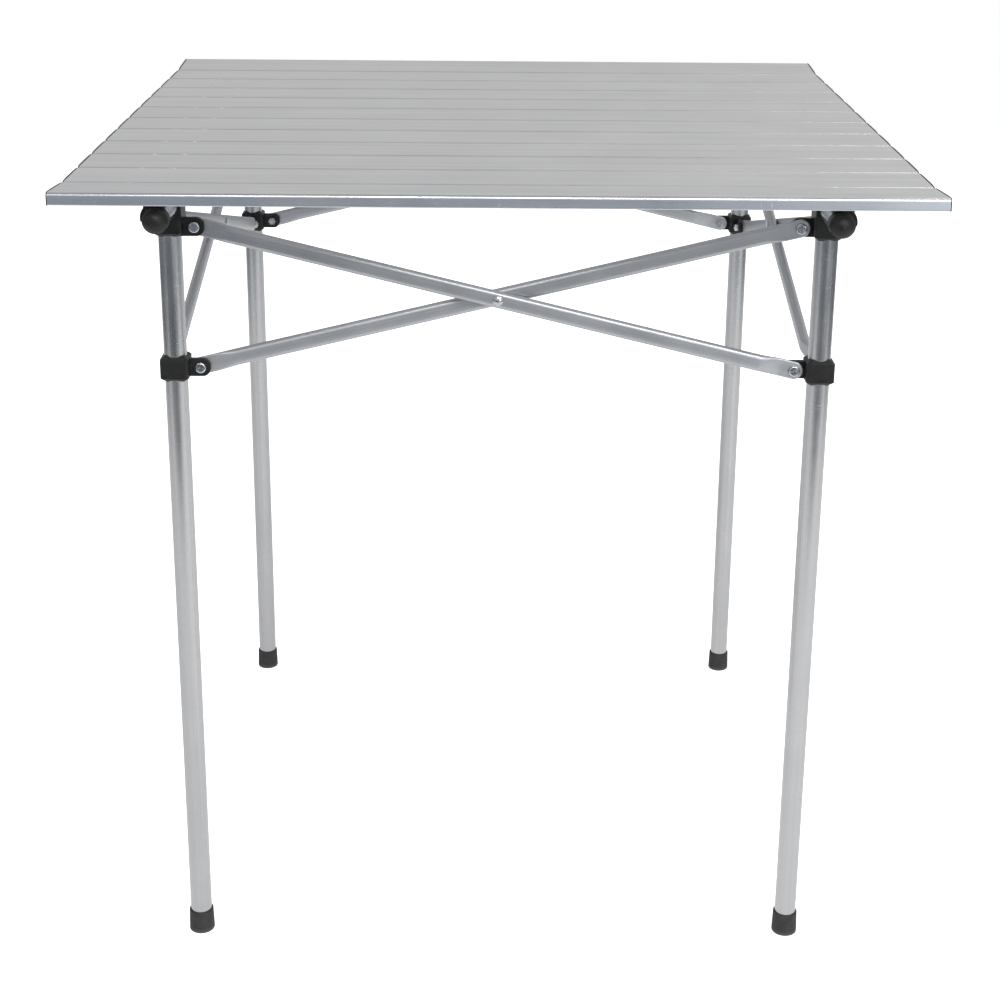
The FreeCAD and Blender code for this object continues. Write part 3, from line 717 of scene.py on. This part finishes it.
def knotTree():
    inputs = [("Knot Radius", "Float"), ("Cord Material", "Material")]
    tree, desk, given = newTree("cordKnots", inputs)
    ball = desk.add("GeometryNodeMeshUVSphere", None,
                    {"Segments": 20, "Rings": 12, "Radius": given["Knot Radius"]})
    placed = desk.add("GeometryNodeInstanceOnPoints", None,
                      {"Points": given["Geometry"], "Instance": ball})
    close(desk, placed, given["Cord Material"])
    return tree


cordZ = (cordLow.z + cordHigh.z) / 2
runs = cordPlaces()
lengths = cordTree()
for number in range(1, slatCount):
    seam = seamY(number)
    start = cordLow.y + cordSize["knot"] if number == 1 else seam - pitch / 2
    end = cordHigh.y - cordSize["knot"] if number == slatCount - 1 else seam + pitch / 2
    seed = ([(x, start, cordZ) for x in runs], [], [])
    piece = grown("cordLength_%02d" % number, seed, lengths,
                  {"Cord Length": end - start, "Cord Radius": cordSize["radius"],
                   "Rings": cordSize["rings"], "Sides": cordSize["sides"],
                   "Cord Material": cordFabric})
    piece.data.shade_smooth()
    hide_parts("elastic_cords")
    seam - cordSize["bend"]
    seam + cordSize["bend"]
    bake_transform(piece)

washerSize = {"radius": 0.00495, "thick": 0.00044, "sides": 40}


def washerTree():
    inputs = [("Washer Radius", "Float"), ("Washer Thickness", "Float"), ("Sides", "Int"),
              ("Washer Material", "Material")]
    tree, desk, given = newTree("seamWashers", inputs)
    disc = desk.add("GeometryNodeMeshCylinder", {"fill_type": "NGON"},
                    {"Vertices": given["Sides"], "Radius": given["Washer Radius"],
                     "Depth": given["Washer Thickness"]})
    placed = desk.add("GeometryNodeInstanceOnPoints", None,
                      {"Points": given["Geometry"], "Instance": disc,
                       "Rotation": vectorOf(desk, math.pi / 2, 0.0, 0.0)})
    close(desk, placed, given["Washer Material"])
    return tree


washers = washerTree()
for number in range(1, slatCount):
    seed = ([(x, seamY(number), cordZ) for x in runs], [], [])
    piece = grown("seamWashers_%02d" % number, seed, washers,
                  {"Washer Radius": washerSize["radius"], "Washer Thickness": washerSize["thick"],
                   "Sides": washerSize["sides"], "Washer Material": nylon})
    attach(piece, "slat_%02d" % number)

knots = knotTree()
for place, body, y in (("front", "slat_01", cordLow.y + cordSize["knot"]),
                       ("rear", "slat_12", cordHigh.y - cordSize["knot"])):
    seed = ([(x, y, cordZ) for x in runs], [], [])
    piece = grown("cordKnots_" + place, seed, knots,
                  {"Knot Radius": cordSize["knot"], "Cord Material": cordFabric})
    piece.data.shade_smooth()
    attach(piece, body)
print("elastic cords across", slatCount - 1, "seams")


# floor, studio and camera

floorSize = {
    "front": -1.45,
    "rear": 3.2,
    "half": 1.9,
    "glow": 1.0,
    "bounce": grey(0.26),   # the share of the glow that lights the table
    "light": grey(0.78),
    "dark": grey(0.74),
}


def floorFinish(desk):
    mottle = desk.grain(desk.spot(), 3.0, 3.0)
    shade = desk.span(mottle, 0.3, 0.7, 0.0, 1.0)
    seen = desk.add("ShaderNodeLightPath", None, None, "Is Camera Ray")
    return {
        "Base Color": desk.tint(shade, floorSize["dark"], floorSize["light"]),
        "Roughness": 0.85 + mottle * 0.1,
        "Emission Color": desk.tint(seen, floorSize["bounce"], grey(1.0)),
    }


def makeFloor():
    y0, y1, half = floorSize["front"], floorSize["rear"], floorSize["half"]
    mesh = bpy.data.meshes.new("studioFloor")
    mesh.from_pydata([(-half, y0, 0), (half, y0, 0), (half, y1, 0), (-half, y1, 0)], [],
                     [(0, 1, 2, 3)])
    floor = bpy.data.objects.new("studioFloor", mesh)
    floor.location.z = -0.0004
    scene.collection.objects.link(floor)
    mesh.materials.append(finish("paleFloor", {"Emission Strength": floorSize["glow"]}, floorFinish))


makeFloor()

studio = {
    "backdrop": 1.0,        # what the camera sees behind the table
    "below": (0.030, 0.033, 0.038, 1.0),
    "horizon": (0.33, 0.37, 0.42, 1.0),
    "rearSky": (0.635, 0.635, 0.635, 1.0),
    "frontSky": (0.64, 0.64, 0.65, 1.0),
    "overhead": (0.42, 0.42, 0.43, 1.0),
    "rightLift": 0.22,      # how much brighter the right side is
}


def skyRamp(desk, place, bright):
    stops = [(0.0, studio["below"]), (0.365, studio["below"]), (0.395, studio["horizon"]),
             (0.50, studio["horizon"]), (0.56, bright), (0.82, bright), (0.93, studio["overhead"])]
    return desk.add("ShaderNodeValToRGB", {"stops": stops}, {0: place})


def makeStudio():
    world = bpy.data.worlds.new("studio")
    scene.world = world
    world.use_nodes = True
    world.node_tree.nodes.clear()
    desk = Desk(world.node_tree)
    way = desk.add("ShaderNodeTexCoord", None, None, "Generated")
    x = desk.add("ShaderNodeSeparateXYZ", None, {0: way}, "X")
    y = desk.add("ShaderNodeSeparateXYZ", None, {0: way}, "Y")
    z = desk.add("ShaderNodeSeparateXYZ", None, {0: way}, "Z")
    place = z * 0.5 + 0.5
    behind = desk.span(y, -0.3, 0.3, 0.0, 1.0)
    colour = desk.tint(behind, skyRamp(desk, place, studio["frontSky"]),
                       skyRamp(desk, place, studio["rearSky"]))
    lift = desk.span(x, 0.05, 0.7, 0.0, studio["rightLift"]) * desk.span(z, -0.1, 0.1, 0.0, 1.0)
    around = desk.add("ShaderNodeBackground", None, {0: colour, 1: lift + 1.0})
    backdrop = desk.add("ShaderNodeBackground", None, {0: grey(1.0), 1: studio["backdrop"]})
    seen = desk.add("ShaderNodeLightPath", None, None, "Is Camera Ray")
    both = desk.add("ShaderNodeMixShader", None, {0: seen, 1: around, 2: backdrop})
    desk.add("ShaderNodeOutputWorld", None, {"Surface": both})


makeStudio()

lamps = {
    "frontRight": {"place": (1.9, -3.3, 1.0), "size": (1.6, 1.8), "watts": 16, "aim": (0.2, 0, 0.6)},
    "frontHigh": {"place": (0.6, -2.2, 2.5), "size": (2.6, 0.6), "watts": 46, "aim": (0.1, 0, 0.6)},
    "rightOverhead": {"place": (1.15, 0.3, 2.2), "size": (0.5, 1.0), "watts": 4.5, "aim": (0.4, 0, 0.7)},
    "rightAbove": {"place": (1.9, -1.3, 2.6), "size": (1.4, 1.0), "watts": 12, "aim": (0.3, 0, 0.7)},
}
for name, lamp in lamps.items():
    light = bpy.data.lights.new(name, "AREA")
    light.shape = "RECTANGLE"
    light.size, light.size_y = lamp["size"]
    light.energy = lamp["watts"]
    holder = bpy.data.objects.new(name, light)
    scene.collection.objects.link(holder)
    holder.location = lamp["place"]
    aim = Vector(lamp["aim"]) - Vector(lamp["place"])
    holder.rotation_euler = aim.to_track_quat("-Z", "Y").to_euler()

cameraView = {
    "place": (-0.0071, -1.7642, 1.0140),
    "yaw": 0.0061,
    "pitch": 0.3130,
    "roll": 0.0081,
    "lens": 68.02,
    "shift": -0.12,
}


def makeCamera():
    yaw, pitchDown, roll = cameraView["yaw"], cameraView["pitch"], cameraView["roll"]
    ahead = Vector((math.sin(yaw) * math.cos(pitchDown), math.cos(yaw) * math.cos(pitchDown),
                    -math.sin(pitchDown)))
    right = Vector((math.cos(yaw), -math.sin(yaw), 0))
    up = right.cross(ahead)
    rolledRight = math.cos(roll) * right + math.sin(roll) * up
    rolledUp = math.cos(roll) * up - math.sin(roll) * right
    turn = Matrix((rolledRight, rolledUp, -ahead)).transposed().to_4x4()
    turn.translation = Vector(cameraView["place"])
    data = bpy.data.cameras.new("view")
    data.sensor_width = 36
    data.lens = cameraView["lens"]
    data.shift_y = cameraView["shift"]
    camera = bpy.data.objects.new("view", data)
    scene.collection.objects.link(camera)
    camera.matrix_world = turn
    scene.camera = camera


makeCamera()
scene.view_settings.view_transform = "Standard"
print("floor, studio and camera set")
